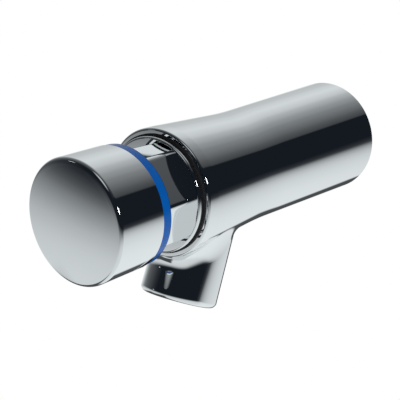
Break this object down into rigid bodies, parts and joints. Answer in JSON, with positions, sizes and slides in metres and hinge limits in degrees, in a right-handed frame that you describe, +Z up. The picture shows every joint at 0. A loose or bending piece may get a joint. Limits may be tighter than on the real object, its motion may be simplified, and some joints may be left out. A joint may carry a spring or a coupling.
{
  "type": "push timed tap",
  "caption": "Wall-mounted self-closing push tap: waisted round body, forward-leaning spout, hexagonal head and domed push button with a coloured ring.",
  "frame": {"origin": "centre of the inlet on the wall face", "axes": "+Y into the wall along the inlet's axis, +Z up, +X to the right of a user who faces the wall"},
  "size_m": [0.0466, 0.1609, 0.0718],
  "materials": {
    "chrome": "polished chrome plate on brass",
    "blue_ring": "gloss blue plastic",
    "brass": "turned brass",
    "steel": "stainless steel",
    "rubber": "black nitrile rubber",
    "acetal": "white acetal",
    "fibre": "red fibre",
    "ruby": "polished synthetic ruby"
  },
  "bodies": {
    "tap": {"body": "chrome", "head_nut": "chrome", "bonnet_seal": "rubber", "spindle_bush": "acetal", "spindle_seal": "rubber", "seal_retainer": "steel", "outlet_cage": "acetal", "valve_seat": "brass", "seat_seal": "rubber", "timing_cylinder": "brass", "cylinder_end_cap": "brass", "end_cap_clip": "steel", "return_spring": "steel", "inlet_nipple": "brass", "nipple_seal": "fibre", "inlet_strainer": "steel", "wall_seal": "rubber", "jet_housing": "chrome", "jet_former": "acetal", "flow_limiter": "acetal", "jet_seal": "rubber"},
    "plunger": {"push_button": "chrome", "indicator_ring": "blue_ring", "button_lock_nut": "brass", "spindle": "steel", "valve_washer": "rubber", "valve_disc": "brass", "piston": "acetal", "piston_lip_seal": "rubber", "piston_clip": "steel", "metering_jewel": "ruby"}
  },
  "joints": [
    {"name": "button_press", "type": "slide", "parent": "tap", "child": "plunger", "axis": [0, 1, 0], "range_m": [0, 0.008], "stiffness_N_per_m": 900, "springref_m": -0.012, "deforming": ["return_spring"]}
  ]
}
